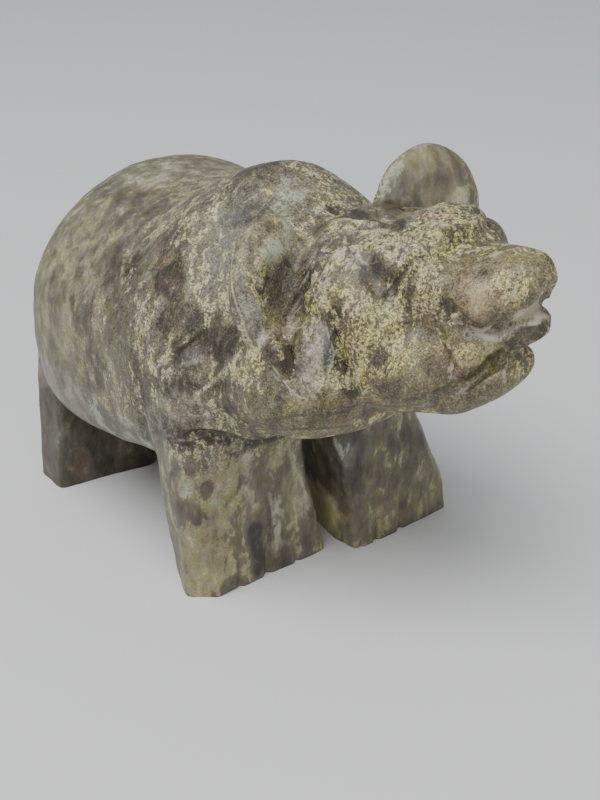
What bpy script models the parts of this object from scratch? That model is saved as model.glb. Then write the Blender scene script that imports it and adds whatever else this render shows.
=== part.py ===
"""A bear carved from one piece of mottled stone, standing on four block legs with its head raised.

Metres, +Z up. The bear faces -Y, so its right side is at -X. The origin is at the centre of its
bounding box, on the plane that its soles stand on.
"""

import math

import bmesh
import bpy
import numpy as np
from mathutils import Euler, Matrix, Vector

# The carving's length from nose to rump. Its forms are given in parts of it, ninety to a length.
LENGTH = 0.090
PART = LENGTH / 90

# The grain of the skin, in parts: where the masses are fused, and where they are carved
CLAY_GRAIN = 0.9
CARVED_GRAIN = 0.5
TRIANGLES = 9400

# Edges bent by more degrees than this are shaded sharp
SHARP = 50

# The head's pose: its centre in parts, and its turn to the left, lean to the right and lift
HEAD_CENTRE = (0.5, -12, 46)
HEAD_TURN, HEAD_LEAN, HEAD_LIFT = 10, 7, 12

# A square wider than the bear, to cut it flat at the soles
GROUND = [(-99, -99), (99, -99), (99, 99), (-99, 99)]

BODY = Matrix.Scale(PART, 4)
HEAD = (
    BODY
    @ Matrix.Translation(HEAD_CENTRE)
    @ Matrix.Rotation(math.radians(HEAD_TURN), 4, "Z")
    @ Matrix.Rotation(math.radians(-HEAD_LEAN), 4, "Y")
    @ Matrix.Rotation(math.radians(-HEAD_LIFT), 4, "X")
)


def clear_scene():
    for obj in list(bpy.data.objects):
        bpy.data.objects.remove(obj)


def new_object(name, bm):
    mesh = bpy.data.meshes.new(name)
    bm.to_mesh(mesh)
    bm.free()
    obj = bpy.data.objects.new(name, mesh)
    bpy.context.scene.collection.objects.link(obj)
    return obj


def rotation(turn):
    return Euler([math.radians(angle) for angle in turn]).to_matrix().to_4x4()


def squared(value, squareness):
    """Pushes a coordinate on the unit sphere outwards, towards a box with round corners."""
    return math.copysign(abs(value) ** (2 / squareness), value)


def lump(centre, radii, turn=(0, 0, 0), squareness=2.0, space=BODY):
    """An ellipsoid, or a rounder box with a higher squareness. Turn is in degrees."""
    bm = bmesh.new()
    bmesh.ops.create_icosphere(bm, subdivisions=4, radius=1)
    place = space @ Matrix.Translation(centre) @ rotation(turn)
    for vert in bm.verts:
        vert.co = place @ Vector(squared(c, squareness) * r for c, r in zip(vert.co, radii))
    return new_object("lump", bm)


def skin_rings(name, rings, space):
    """A closed form through rings of points, each ring with the same count."""
    bm = bmesh.new()
    made = [[bm.verts.new(space @ Vector(point)) for point in ring] for ring in rings]
    for a, b in zip(made, made[1:]):
        for i in range(len(a)):
            j = (i + 1) % len(a)
            bm.faces.new((a[i], a[j], b[j], b[i]))
    bm.faces.new(made[0][::-1])
    bm.faces.new(made[-1])
    bmesh.ops.recalc_face_normals(bm, faces=bm.faces)
    return new_object(name, bm)


def loft(sections, squareness=2.4, space=BODY, sides=40):
    """A form through upright oval rings. A section is (centre, half width, height above the
    centre, depth below it), with its own squareness above the centre if it ends in one."""
    rings = []
    for (x, y, z), half_width, above, below, *own in sections:
        ring = []
        for i in range(sides):
            angle = 2 * math.pi * i / sides
            upper = i < sides / 2
            power = own[0] if upper and own else squareness
            across = squared(math.cos(angle), power) * half_width
            rise = squared(math.sin(angle), power) * (above if upper else below)
            ring.append((x + across, y, z + rise))
        rings.append(ring)
    return skin_rings("loft", rings, space)


def block(sections, space=BODY):
    """A form through level outlines. A section is (height, corners), each corner an (x, y)."""
    rings = [[(x, y, height) for x, y in corners] for height, corners in sections]
    return skin_rings("block", rings, space)


def apply_modifiers(obj):
    graph = bpy.context.evaluated_depsgraph_get()
    mesh = bpy.data.meshes.new_from_object(obj.evaluated_get(graph))
    obj.modifiers.clear()
    obj.data = mesh
    return obj


def fuse(name, pieces, grain, smoothing):
    """Joins overlapping closed pieces into one skin and eases the creases between them."""
    bm = bmesh.new()
    for piece in pieces:
        bm.from_mesh(piece.data)
        bpy.data.objects.remove(piece)
    obj = new_object(name, bm)
    remesh = obj.modifiers.new("Remesh", "REMESH")
    remesh.mode = "VOXEL"
    remesh.voxel_size = grain * PART
    if smoothing:
        smooth = obj.modifiers.new("Smooth", "SMOOTH")
        smooth.factor = 0.5
        smooth.iterations = smoothing
    return apply_modifiers(obj)


def cut(obj, cutter):
    boolean = obj.modifiers.new("Cut", "BOOLEAN")
    boolean.operation = "DIFFERENCE"
    boolean.object = cutter
    boolean.solver = "EXACT"
    apply_modifiers(obj)
    bpy.data.objects.remove(cutter)


class Skin:
    """The points of a mesh and its eased normals, in parts, for the carving tools."""

    def __init__(self, obj):
        self.obj = obj
        self.points = self.read("co") / PART
        edges = np.empty(len(obj.data.edges) * 2, np.int32)
        obj.data.edges.foreach_get("vertices", edges)
        self.edges = edges.reshape(-1, 2)
        self.counts = np.bincount(edges, minlength=len(self.points))[:, None]
        self.refresh()

    def read(self, name):
        values = np.empty(len(self.obj.data.vertices) * 3)
        self.obj.data.vertices.foreach_get(name, values)
        return values.reshape(-1, 3)

    def neighbours(self, values):
        """The mean of each point's neighbours."""
        total = np.zeros_like(values)
        np.add.at(total, self.edges[:, 0], values[self.edges[:, 1]])
        np.add.at(total, self.edges[:, 1], values[self.edges[:, 0]])
        return total / self.counts

    def refresh(self):
        self.obj.data.vertices.foreach_set("co", (self.points * PART).ravel())
        self.obj.data.update()
        self.normals = self.read("normal")
        for _ in range(4):
            self.normals = (self.normals + self.neighbours(self.normals)) / 2
        self.normals /= np.linalg.norm(self.normals, axis=1, keepdims=True)

    def sink(self, depths):
        self.points -= self.normals * depths[:, None]
        self.refresh()


def in_parts(point, space):
    return np.array(space @ Vector(point)) / PART


def smooth_path(points, steps=10):
    """Points along a smooth curve through the given ones."""
    ends = [2 * points[0] - points[1], *points, 2 * points[-1] - points[-2]]
    path = []
    for a, b, c, d in zip(ends, ends[1:], ends[2:], ends[3:]):
        for t in np.linspace(0, 1, steps, endpoint=False):
            path.append(
                0.5
                * (
                    2 * b
                    + (c - a) * t
                    + (2 * a - 5 * b + 4 * c - d) * t**2
                    + (3 * b - a - 3 * c + d) * t**3
                )
            )
    return np.array([*path, points[-1]])


def groove(skin, path, width, depth, space=BODY):
    """A groove along a path laid on the skin, fading at both ends. A negative depth is a ridge."""
    path = smooth_path([in_parts(point, space) for point in path])
    nearest = [np.argmin(((skin.points - point) ** 2).sum(1)) for point in path]
    laid = skin.points[nearest]
    for _ in range(8):
        laid[1:-1] = (laid[:-2] + 2 * laid[1:-1] + laid[2:]) / 4
    gaps = np.linalg.norm(skin.points[:, None] - laid, axis=2)
    along = gaps.argmin(1) / (len(laid) - 1)
    fade = np.sqrt(np.clip(np.sin(math.pi * (0.04 + 0.92 * along)), 0, 1))
    skin.sink(depth * fade * np.exp(-((gaps.min(1) / (width / 2)) ** 2)))


def dent(skin, centre, radii, depth, turn=(0, 0, 0), space=BODY):
    """Presses a soft oval hollow into the skin. A negative depth raises a bulge."""
    place = space @ Matrix.Translation(centre) @ rotation(turn)
    inverse = np.array(place.inverted())
    local = (skin.points * PART) @ inverse[:3, :3].T + inverse[:3, 3]
    reach = ((local / np.array(radii)) ** 2).sum(1)
    skin.sink(depth * np.clip(1 - reach, 0, 1) ** 2)


def trunk():
    barrel = [
        ((-1, -13, 41), 8, 7, 7, 2.1),
        ((-1, -9, 40), 14.5, 12.5, 10, 2.1),
        ((-1.5, -3, 38), 18.5, 17, 13, 2),
        ((-2, 3, 36.5), 21.5, 21.7, 17, 1.8),
        ((-2.4, 8, 35.5), 22.8, 25.3, 18, 1.75),
        ((-2.4, 13, 35), 23, 23.4, 18, 1.8),
        ((-2, 18, 35), 23, 20.3, 19.6, 1.9),
        ((-2, 24, 35), 23.2, 18.8, 21, 1.9),
        ((-2, 30, 34.6), 23.6, 19.2, 21.2, 1.9),
        ((-2, 35, 34), 23.8, 20, 20.4, 1.88),
        ((-1.6, 41, 33), 22.4, 19.3, 18.6, 1.92),
        ((-1, 45.5, 31.5), 18.6, 16.3, 16.4, 2),
        ((-1, 48.5, 30), 13.5, 11.7, 11.5, 2),
        ((-1, 50, 29), 7, 6, 5.5, 2),
    ]
    return [
        loft(barrel, squareness=4),
        lump((-5.5, -7, 38), (16.5, 13, 9.5), squareness=2.4),
        lump((-15.5, 6, 34), (9.5, 9, 13), squareness=2.3),
        lump((13, 5, 34), (9.5, 9, 13), squareness=2.3),
        lump((-1, 48.4, 34), (2.4, 2.8, 6)),
    ]


def legs():
    right_front = [
        (-2, [(-19, -0.2), (1.3, -0.2), (-1, 12), (-15, 14), (-20, 10), (-23.2, 3.2)]),
        (16, [(-22.5, -0.2), (-3, -0.2), (-4.5, 13), (-16, 16), (-23, 9), (-24, 3)]),
        (27, [(-24.6, -0.6), (-5, -0.6), (-4.5, 14), (-18, 14), (-23, 10), (-25, 4)]),
        (27.8, [(-23.6, 2), (-5, 2), (-4.5, 14), (-18, 14), (-23, 10), (-24.6, 5)]),
        (36, [(-19, 4), (-6, 4), (-5.5, 12), (-15, 12), (-20, 10), (-21, 6)]),
    ]
    left_front = [
        (-2, [(4.2, -3.6), (23.4, -3.6), (25.6, 0), (24, 9), (19, 13), (5.6, 12), (3.5, 1)]),
        (5, [(3.4, -3.6), (22, -3.6), (24.8, 0), (23.5, 9), (19, 13), (5, 12), (2.9, 1)]),
        (18, [(0.6, -3.6), (16, -3.6), (18.6, 0), (19, 10), (18, 14), (3.5, 14), (0, 2)]),
        (27, [(-1, -3.6), (12.5, -3.6), (16, 0), (19, 12), (18, 16), (0, 16), (-2, 4)]),
        (36, [(0, 0), (11, 0), (14, 4), (16, 10), (15, 14), (0, 14), (-2, 4)]),
    ]
    right_hind = [
        (-2, [(-22.2, 40.8), (-16, 40), (-6.4, 37.8), (-4, 39), (-5, 48), (-18, 50), (-22, 47.5)]),
        (24, [(-21.4, 39), (-15, 38), (-4, 36), (-3, 38), (-3, 47.5), (-16.5, 49), (-21.4, 46)]),
        (34, [(-19, 39), (-13, 38), (-4, 36), (-2, 38), (-2, 48.6), (-11, 48.3), (-17, 45)]),
    ]
    left_hind = [(height, [(-1 - x, y) for x, y in corners]) for height, corners in right_hind]
    return [block(leg) for leg in (right_front, left_front, right_hind, left_hind)]


def head():
    upper_jaw = [
        ((0, -6, 1), 9, 6, 6),
        ((0, -14, 1.6), 8.2, 5.8, 5.8),
        ((0, -19, 2.5), 7.2, 5, 5),
        ((0.2, -23, 3.5), 5, 3.9, 3.9),
        ((0.8, -26.6, 4.9), 1.8, 1.5, 1.5),
    ]
    lower_jaw = [
        ((0, -6, -8.6), 10, 5, 5),
        ((-0.5, -13, -9.2), 8.4, 4.2, 4.2),
        ((-0.8, -18, -8), 5.6, 3, 3),
        ((-0.8, -20.8, -7.3), 2.6, 1.8, 1.8),
    ]
    tongue = [
        ((-0.5, -12, -3), 6, 2.6, 2.6),
        ((-0.5, -19, -2.4), 5.2, 2.6, 2.6),
        ((-0.4, -22.5, -1.8), 3.8, 2.3, 2.3),
        ((0, -24.6, -1.2), 2.4, 1.7, 1.7),
    ]
    return [
        lump((0, 0, 0), (15, 14, 12), squareness=2.2, space=HEAD),
        lump((0, -5, -4.5), (14, 12.5, 9), squareness=2.2, space=HEAD),
        lump((-3, 4, -4), (15.5, 10, 10), squareness=2.2, space=HEAD),
        lump((1.2, -6, 4.2), (11.5, 10.5, 7.8), squareness=2.4, space=HEAD),
        loft(upper_jaw, space=HEAD),
        loft(lower_jaw, space=HEAD),
        loft(tongue, space=HEAD),
    ]


def ears():
    return [
        lump((-13.2, 7, 7), (7.4, 2.7, 9), turn=(0, 25, 5), space=HEAD),
        lump((15.7, 3.5, 6.1), (9, 2.9, 9.2), turn=(0, -10, -15), space=HEAD),
        lump((-17.5, 3.5, 0.3), (2.8, 2.6, 2.4), space=HEAD),
    ]


def carve_face(skin):
    """Eye sockets, the creases in front of them, lips and jaw folds on both sides of the face, then
    the dip of the crown, the ledge over the snout and the fold behind the right cheek."""
    for side in (1, -1):
        socket = (-9 * side, -7.5, 7)
        crease = [(-5.5 * side, -11.5, 8), (-7.6 * side, -9.8, 5.6), (-10.5 * side, -8.4, 3.6)]
        lip = [(-7, -16.6, 3.6), (-6.9, -18.8, 0.8), (-5.5, -20.6, -0.6), (-3.2, -23.4, 0)]
        fold = [(-2.4, -19.1, -5.5), (-4.7, -17.8, -6.5), (-7, -15.7, -7.3), (-10.3, -13.1, -7.4)]
        dent(skin, socket, (4.8, 4.8, 5.4), 1.1, space=HEAD)
        groove(skin, crease, 2.4, 1, space=HEAD)
        groove(skin, [(x * side, y, z) for x, y, z in lip], 1.6, 1, space=HEAD)
        groove(skin, [(x * side, y, z) for x, y, z in fold], 1.6, 0.9, space=HEAD)
    ledge = [(-6, -12.6, 8), (-3, -14.5, 9), (2, -15.4, 9), (6, -14, 8)]
    cheek = [(-12.5, 0, 4), (-14.4, -3.4, 1), (-15.4, -3.6, -2.5), (-16.2, -1, -6)]
    dent(skin, (6, -1.5, 12.5), (10, 7.5, 6), 2.6, space=HEAD)
    groove(skin, ledge, 2.2, 0.9, space=HEAD)
    groove(skin, cheek, 2, 0.8, space=HEAD)


def carve_shoulder(skin):
    upper = [(-19.8, 0.1, 43.8), (-21.8, 2.7, 40.4), (-23.5, 5.9, 36.7)]
    lower = [(-19.4, -5.3, 40.5), (-21.1, 0.4, 37.6), (-23.7, 5.8, 35.2)]
    dent(skin, (-21, -0.5, 39.8), (4, 5, 3.2), 1.2)
    groove(skin, upper, 1.6, -0.5)
    groove(skin, lower, 1.6, -0.5)


def toe_cuts():
    """Upright notches between the toes of the front feet: (across, height) on each foot's face."""
    right_toes = [(-15.8, 9), (-10.6, 19), (-5, 7)]
    left_toes = [(4.8, 5), (8, 8), (13, 14)]
    for toes, front in ((right_toes, -0.2), (left_toes, -3.6)):
        for across, height in toes:
            sole = [(across - 1.7, front - 1), (across + 1.7, front - 1), (across, front + 1.1)]
            tip = [(across - 1, front - 1), (across + 1, front - 1), (across, front - 0.1)]
            yield block([(-3, sole), (height, tip)])


def polished_stone():
    """Mottled olive-grey agate, polished."""
    stone = bpy.data.materials.new("mottled stone")
    stone.use_nodes = True
    shader = stone.node_tree.nodes["Principled BSDF"]
    shader.inputs["Base Color"].default_value = (0.16, 0.145, 0.105, 1)
    shader.inputs["Roughness"].default_value = 0.25
    shader.inputs["Metallic"].default_value = 0
    return stone


def centre_on_soles(obj):
    """Moves the mesh so that the middle of its box is over the origin. Its soles are at z = 0."""
    corners = [Vector(corner) for corner in obj.bound_box]
    middle = (corners[0] + corners[6]) / 2
    obj.data.transform(Matrix.Translation((-middle.x, -middle.y, 0)))


def bear():
    body = fuse("body", trunk(), CLAY_GRAIN, smoothing=20)
    body = fuse("body", [body] + legs() + head() + ears(), CLAY_GRAIN, smoothing=4)
    cut(body, lump((-15.4, 2.4, 7.8), (4.4, 2.9, 6.8), turn=(0, 25, 8), space=HEAD))
    cut(body, lump((14.6, -1, 7.6), (6.6, 2.8, 7), turn=(0, -10, -15), space=HEAD))
    body = fuse("bear", [body], CARVED_GRAIN, smoothing=2)
    skin = Skin(body)
    carve_face(skin)
    carve_shoulder(skin)
    decimate = body.modifiers.new("Decimate", "DECIMATE")
    decimate.ratio = min(1, TRIANGLES / (2 * len(body.data.polygons)))
    apply_modifiers(body)
    for notch in toe_cuts():
        cut(body, notch)
    cut(body, lump((-17.6, -0.9, -0.4), (3.2, 1.4, 1.2)))
    cut(body, block([(-20, GROUND), (0, GROUND)]))
    centre_on_soles(body)
    body.data.shade_smooth()
    body.data.set_sharp_from_angle(angle=math.radians(SHARP))
    body.data.materials.append(polished_stone())


clear_scene()
bear()
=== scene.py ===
"""The looks of a small bear carved from mottled moss agate: its finely carved skin, the polished
stone, a pale floor, soft studio light and a camera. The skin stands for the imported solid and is
built from the same masses, at a finer grain.

Forms are in parts of the bear's length, ninety to a length, as in the solid's own source.
"""

import math

import bmesh
import bpy
import numpy as np
from mathutils import Euler, Matrix, Vector
from mathutils import noise as perlin


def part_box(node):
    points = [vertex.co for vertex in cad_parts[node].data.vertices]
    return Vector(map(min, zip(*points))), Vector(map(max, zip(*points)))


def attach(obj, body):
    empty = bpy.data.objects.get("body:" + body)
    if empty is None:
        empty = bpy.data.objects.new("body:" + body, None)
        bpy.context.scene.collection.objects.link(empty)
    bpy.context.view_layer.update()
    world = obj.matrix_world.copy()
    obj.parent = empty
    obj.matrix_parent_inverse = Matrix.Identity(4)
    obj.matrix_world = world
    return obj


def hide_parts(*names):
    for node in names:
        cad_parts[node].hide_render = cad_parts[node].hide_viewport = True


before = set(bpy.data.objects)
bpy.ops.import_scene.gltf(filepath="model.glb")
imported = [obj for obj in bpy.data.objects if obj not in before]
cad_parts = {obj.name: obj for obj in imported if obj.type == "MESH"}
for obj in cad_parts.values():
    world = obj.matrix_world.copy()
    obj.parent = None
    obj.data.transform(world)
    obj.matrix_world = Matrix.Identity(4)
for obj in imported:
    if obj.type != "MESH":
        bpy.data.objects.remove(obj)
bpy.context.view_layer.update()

LENGTH = 0.090
PART = LENGTH / 90

# The grain of the skin, in parts: where the trunk, then all masses, are fused, and where it is
# carved, and about how many triangles it keeps
TRUNK_GRAIN = 0.9
CLAY_GRAIN = 0.5
CARVED_GRAIN = 0.27
TRIANGLES = 190_000

# The head's pose: its centre in parts, and its turn to the left, lean to the right and lift
HEAD_CENTRE = (0.5, -12, 46)
HEAD_TURN, HEAD_LEAN, HEAD_LIFT = 10, 7, 12

BODY = Matrix.Scale(PART, 4)
HEAD = (
    BODY
    @ Matrix.Translation(HEAD_CENTRE)
    @ Matrix.Rotation(math.radians(HEAD_TURN), 4, "Z")
    @ Matrix.Rotation(math.radians(-HEAD_LEAN), 4, "Y")
    @ Matrix.Rotation(math.radians(-HEAD_LIFT), 4, "X")
)

# The camera: its place in parts from the masses' own origin, its heading and pitch down in degrees,
# and its lens, from a focal length and the photograph's height in pixels and a sensor in millimetres
CAMERA_AT = (-112.56, -132.15, 118.2)
HEADING, PITCH = 39.3, 28
LENS_PIXELS, FRAME_PIXELS, SENSOR = 1358, 800, 36


# Clay: the masses, as in the solid

def new_object(name, bm):
    mesh = bpy.data.meshes.new(name)
    bm.to_mesh(mesh)
    bm.free()
    obj = bpy.data.objects.new(name, mesh)
    bpy.context.scene.collection.objects.link(obj)
    return obj


def rotation(turn):
    return Euler([math.radians(angle) for angle in turn]).to_matrix().to_4x4()


def squared(value, squareness):
    """Pushes a coordinate on the unit sphere outwards, towards a box with round corners."""
    return math.copysign(abs(value) ** (2 / squareness), value)


def lump(centre, radii, turn=(0, 0, 0), squareness=2.0, space=BODY):
    """An ellipsoid, or a rounder box with a higher squareness. Turn is in degrees."""
    bm = bmesh.new()
    bmesh.ops.create_icosphere(bm, subdivisions=5, radius=1)
    place = space @ Matrix.Translation(centre) @ rotation(turn)
    for vert in bm.verts:
        vert.co = place @ Vector(squared(c, squareness) * r for c, r in zip(vert.co, radii))
    return new_object("lump", bm)


def skin_rings(name, rings, space):
    """A closed form through rings of points, each ring with the same count."""
    bm = bmesh.new()
    made = [[bm.verts.new(space @ Vector(point)) for point in ring] for ring in rings]
    for a, b in zip(made, made[1:]):
        for i in range(len(a)):
            j = (i + 1) % len(a)
            bm.faces.new((a[i], a[j], b[j], b[i]))
    bm.faces.new(made[0][::-1])
    bm.faces.new(made[-1])
    bmesh.ops.recalc_face_normals(bm, faces=bm.faces)
    return new_object(name, bm)


def loft(sections, squareness=2.4, space=BODY, sides=40):
    """A form through upright oval rings. A section is (centre, half width, height above the
    centre, depth below it), with its own squareness above the centre if it ends in one."""
    rings = []
    for (x, y, z), half_width, above, below, *own in sections:
        ring = []
        for i in range(sides):
            angle = 2 * math.pi * i / sides
            upper = i < sides / 2
            power = own[0] if upper and own else squareness
            across = squared(math.cos(angle), power) * half_width
            rise = squared(math.sin(angle), power) * (above if upper else below)
            ring.append((x + across, y, z + rise))
        rings.append(ring)
    return skin_rings("loft", rings, space)


def block(sections, space=BODY):
    """A form through level outlines. A section is (height, corners), each corner an (x, y)."""
    rings = [[(x, y, height) for x, y in corners] for height, corners in sections]
    return skin_rings("block", rings, space)


def apply_modifiers(obj):
    graph = bpy.context.evaluated_depsgraph_get()
    mesh = bpy.data.meshes.new_from_object(obj.evaluated_get(graph))
    obj.modifiers.clear()
    obj.data = mesh
    return obj


def fuse(name, pieces, grain, smoothing):
    """Joins overlapping closed pieces into one skin and eases the creases between them."""
    bm = bmesh.new()
    for piece in pieces:
        bm.from_mesh(piece.data)
        bpy.data.objects.remove(piece)
    obj = new_object(name, bm)
    remesh = obj.modifiers.new("Remesh", "REMESH")
    remesh.mode = "VOXEL"
    remesh.voxel_size = grain * PART
    smooth = obj.modifiers.new("Smooth", "SMOOTH")
    smooth.factor = 0.5
    smooth.iterations = smoothing
    return apply_modifiers(obj)


def cut(obj, cutter):
    boolean = obj.modifiers.new("Cut", "BOOLEAN")
    boolean.operation = "DIFFERENCE"
    boolean.object = cutter
    boolean.solver = "EXACT"
    apply_modifiers(obj)
    bpy.data.objects.remove(cutter)


def trunk():
    barrel = [
        ((-1, -13, 41), 8, 7, 7, 2.1),
        ((-1, -9, 40), 14.5, 12.5, 10, 2.1),
        ((-1.5, -3, 38), 18.5, 17, 13, 2),
        ((-2, 3, 36.5), 21.5, 21.7, 17, 1.8),
        ((-2.4, 8, 35.5), 22.8, 25.3, 18, 1.75),
        ((-2.4, 13, 35), 23, 23.4, 18, 1.8),
        ((-2, 18, 35), 23, 20.3, 19.6, 1.9),
        ((-2, 24, 35), 23.2, 18.8, 21, 1.9),
        ((-2, 30, 34.6), 23.6, 19.2, 21.2, 1.9),
        ((-2, 35, 34), 23.8, 20, 20.4, 1.88),
        ((-1.6, 41, 33), 22.4, 19.3, 18.6, 1.92),
        ((-1, 45.5, 31.5), 18.6, 16.3, 16.4, 2),
        ((-1, 48.5, 30), 13.5, 11.7, 11.5, 2),
        ((-1, 50, 29), 7, 6, 5.5, 2),
    ]
    return [
        loft(barrel, squareness=4),
        lump((-5.5, -7, 38), (16.5, 13, 9.5), squareness=2.4),
        lump((-15.5, 6, 34), (9.5, 9, 13), squareness=2.3),
        lump((13, 5, 34), (9.5, 9, 13), squareness=2.3),
        lump((-1, 48.4, 34), (2.4, 2.8, 6)),
    ]


def legs():
    right_front = [
        (-2, [(-19, -0.2), (1.3, -0.2), (-1, 12), (-15, 14), (-20, 10), (-23.2, 3.2)]),
        (16, [(-22.5, -0.2), (-3, -0.2), (-4.5, 13), (-16, 16), (-23, 9), (-24, 3)]),
        (27, [(-24.6, -0.6), (-5, -0.6), (-4.5, 14), (-18, 14), (-23, 10), (-25, 4)]),
        (27.8, [(-23.6, 2), (-5, 2), (-4.5, 14), (-18, 14), (-23, 10), (-24.6, 5)]),
        (36, [(-19, 4), (-6, 4), (-5.5, 12), (-15, 12), (-20, 10), (-21, 6)]),
    ]
    left_front = [
        (-2, [(4.2, -3.6), (23.4, -3.6), (25.6, 0), (24, 9), (19, 13), (5.6, 12), (3.5, 1)]),
        (5, [(3.4, -3.6), (22, -3.6), (24.8, 0), (23.5, 9), (19, 13), (5, 12), (2.9, 1)]),
        (18, [(0.6, -3.6), (16, -3.6), (18.6, 0), (19, 10), (18, 14), (3.5, 14), (0, 2)]),
        (27, [(-1, -3.6), (12.5, -3.6), (16, 0), (19, 12), (18, 16), (0, 16), (-2, 4)]),
        (36, [(0, 0), (11, 0), (14, 4), (16, 10), (15, 14), (0, 14), (-2, 4)]),
    ]
    right_hind = [
        (-2, [(-22.2, 40.8), (-16, 40), (-6.4, 37.8), (-4, 39), (-5, 48), (-18, 50), (-22, 47.5)]),
        (24, [(-21.4, 39), (-15, 38), (-4, 36), (-3, 38), (-3, 47.5), (-16.5, 49), (-21.4, 46)]),
        (34, [(-19, 39), (-13, 38), (-4, 36), (-2, 38), (-2, 48.6), (-11, 48.3), (-17, 45)]),
    ]
    left_hind = [(height, [(-1 - x, y) for x, y in corners]) for height, corners in right_hind]
    return [block(leg) for leg in (right_front, left_front, right_hind, left_hind)]


def head():
    upper_jaw = [
        ((0, -6, 1), 9, 6, 6),
        ((0, -14, 1.6), 8.2, 5.8, 5.8),
        ((0, -19, 2.5), 7.2, 5, 5),
        ((0.2, -23, 3.5), 5, 3.9, 3.9),
        ((0.8, -26.6, 4.9), 1.8, 1.5, 1.5),
    ]
    lower_jaw = [
        ((0, -6, -8.6), 10, 5, 5),
        ((-0.5, -13, -9.2), 8.4, 4.2, 4.2),
        ((-0.8, -18, -8), 5.6, 3, 3),
        ((-0.8, -20.8, -7.3), 2.6, 1.8, 1.8),
    ]
    tongue = [
        ((-0.5, -12, -3), 6, 2.6, 2.6),
        ((-0.5, -19, -2.4), 5.2, 2.6, 2.6),
        ((-0.4, -22.5, -1.8), 3.8, 2.3, 2.3),
        ((0, -24.6, -1.2), 2.4, 1.7, 1.7),
    ]
    return [
        lump((0, 0, 0), (15, 14, 12), squareness=2.2, space=HEAD),
        lump((0, -5, -4.5), (14, 12.5, 9), squareness=2.2, space=HEAD),
        lump((-3, 4, -4), (15.5, 10, 10), squareness=2.2, space=HEAD),
        lump((1.2, -6, 4.2), (11.5, 10.5, 7.8), squareness=2.4, space=HEAD),
        loft(upper_jaw, space=HEAD),
        loft(lower_jaw, space=HEAD),
        loft(tongue, space=HEAD),
    ]


def ears():
    return [
        lump((-13.2, 7, 7), (7.4, 2.7, 9), turn=(0, 25, 5), space=HEAD),
        lump((15.7, 3.5, 6.1), (9, 2.9, 9.2), turn=(0, -10, -15), space=HEAD),
        lump((-17.5, 3.5, 0.3), (2.8, 2.6, 2.4), space=HEAD),
    ]


def hollows():
    """What is cut out of the fused masses: the cups of both ears, upright notches between the toes
    of the front feet and a chip in the right front foot's lower edge."""
    yield lump((-15.4, 2.4, 7.8), (4.4, 2.9, 6.8), turn=(0, 25, 8), space=HEAD)
    yield lump((14.6, -1, 7.6), (6.6, 2.8, 7), turn=(0, -10, -15), space=HEAD)
    # The notches as (across, height) on each foot's front face
    right_toes = [(-15.8, 9), (-10.6, 19), (-5, 7)]
    left_toes = [(4.8, 5), (8, 8), (13, 14)]
    for toes, face in ((right_toes, -0.2), (left_toes, -3.6)):
        for across, height in toes:
            ahead = face - 1
            sole = [(across - 1.7, ahead), (across + 1.7, ahead), (across, face + 1.1)]
            tip = [(across - 1, ahead), (across + 1, ahead), (across, face - 0.1)]
            yield block([(-3, sole), (height, tip)])
    yield lump((-17.6, -0.9, -0.4), (3.2, 1.4, 1.2))


# Carving: tools that move the points of a skin

# Rounds of averaging for the eased normals and for a path laid on the skin
EASING = 8
# In parts: how far around a path the skin is searched for it, how far ahead of a path's nearest
# point a point is still beside it, and the width of a ledge's sharp side
SEARCH, ALONGSIDE, SHARP_SIDE = 5, 0.6, 0.4
# How far the rise and fall of a path's strength reaches beyond its ends, as a share of its length
END_FADE = 0.04


class Skin:
    """The points of a mesh and its eased normals, in parts. The tools add up depths, and press()
    then sinks the points by them."""

    def __init__(self, obj):
        self.obj = obj
        self.points = self.read("co") / PART
        self.depths = np.zeros(len(self.points))
        edges = np.empty(len(obj.data.edges) * 2, np.int32)
        obj.data.edges.foreach_get("vertices", edges)
        self.ends = np.concatenate([edges[0::2], edges[1::2]])
        self.others = np.concatenate([edges[1::2], edges[0::2]])
        self.counts = np.bincount(edges, minlength=len(self.points))[:, None]
        self.ease_normals()

    def read(self, name):
        values = np.empty(len(self.obj.data.vertices) * 3)
        self.obj.data.vertices.foreach_get(name, values)
        return values.reshape(-1, 3)

    def neighbours(self, values):
        """The mean of each point's neighbours."""
        columns = [
            np.bincount(self.ends, weights=column[self.others], minlength=len(values))
            for column in values.T
        ]
        return np.stack(columns, 1) / self.counts

    def ease_normals(self):
        self.normals = self.read("normal")
        for _ in range(EASING):
            self.normals = (self.normals + self.neighbours(self.normals)) / 2
        self.normals /= np.linalg.norm(self.normals, axis=1, keepdims=True)

    def settle(self):
        """Writes the points back to the mesh and reads its new normals."""
        self.obj.data.vertices.foreach_set("co", (self.points * PART).ravel())
        self.obj.data.update()
        self.ease_normals()

    def press(self):
        self.points -= self.normals * self.depths[:, None]
        self.depths[:] = 0
        self.settle()

    def spread(self, name, values):
        """Keeps one number for each point, under a name that the material reads."""
        attribute = self.obj.data.attributes.new(name, "FLOAT", "POINT")
        attribute.data.foreach_set("value", values.astype(np.float32))


def in_parts(point, space):
    return np.array(space @ Vector(point)) / PART


def smooth_path(points, steps=12):
    """Points along a smooth curve through the given ones."""
    ends = [2 * points[0] - points[1], *points, 2 * points[-1] - points[-2]]
    path = []
    for a, b, c, d in zip(ends, ends[1:], ends[2:], ends[3:]):
        for t in np.linspace(0, 1, steps, endpoint=False):
            point = 2 * b + (c - a) * t + (2 * a - 5 * b + 4 * c - d) * t**2
            path.append((point + (3 * b - a - 3 * c + d) * t**3) / 2)
    return np.array([*path, points[-1]])


def in_box(points, low, high):
    return np.flatnonzero(((points > low) & (points < high)).all(1))


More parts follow.
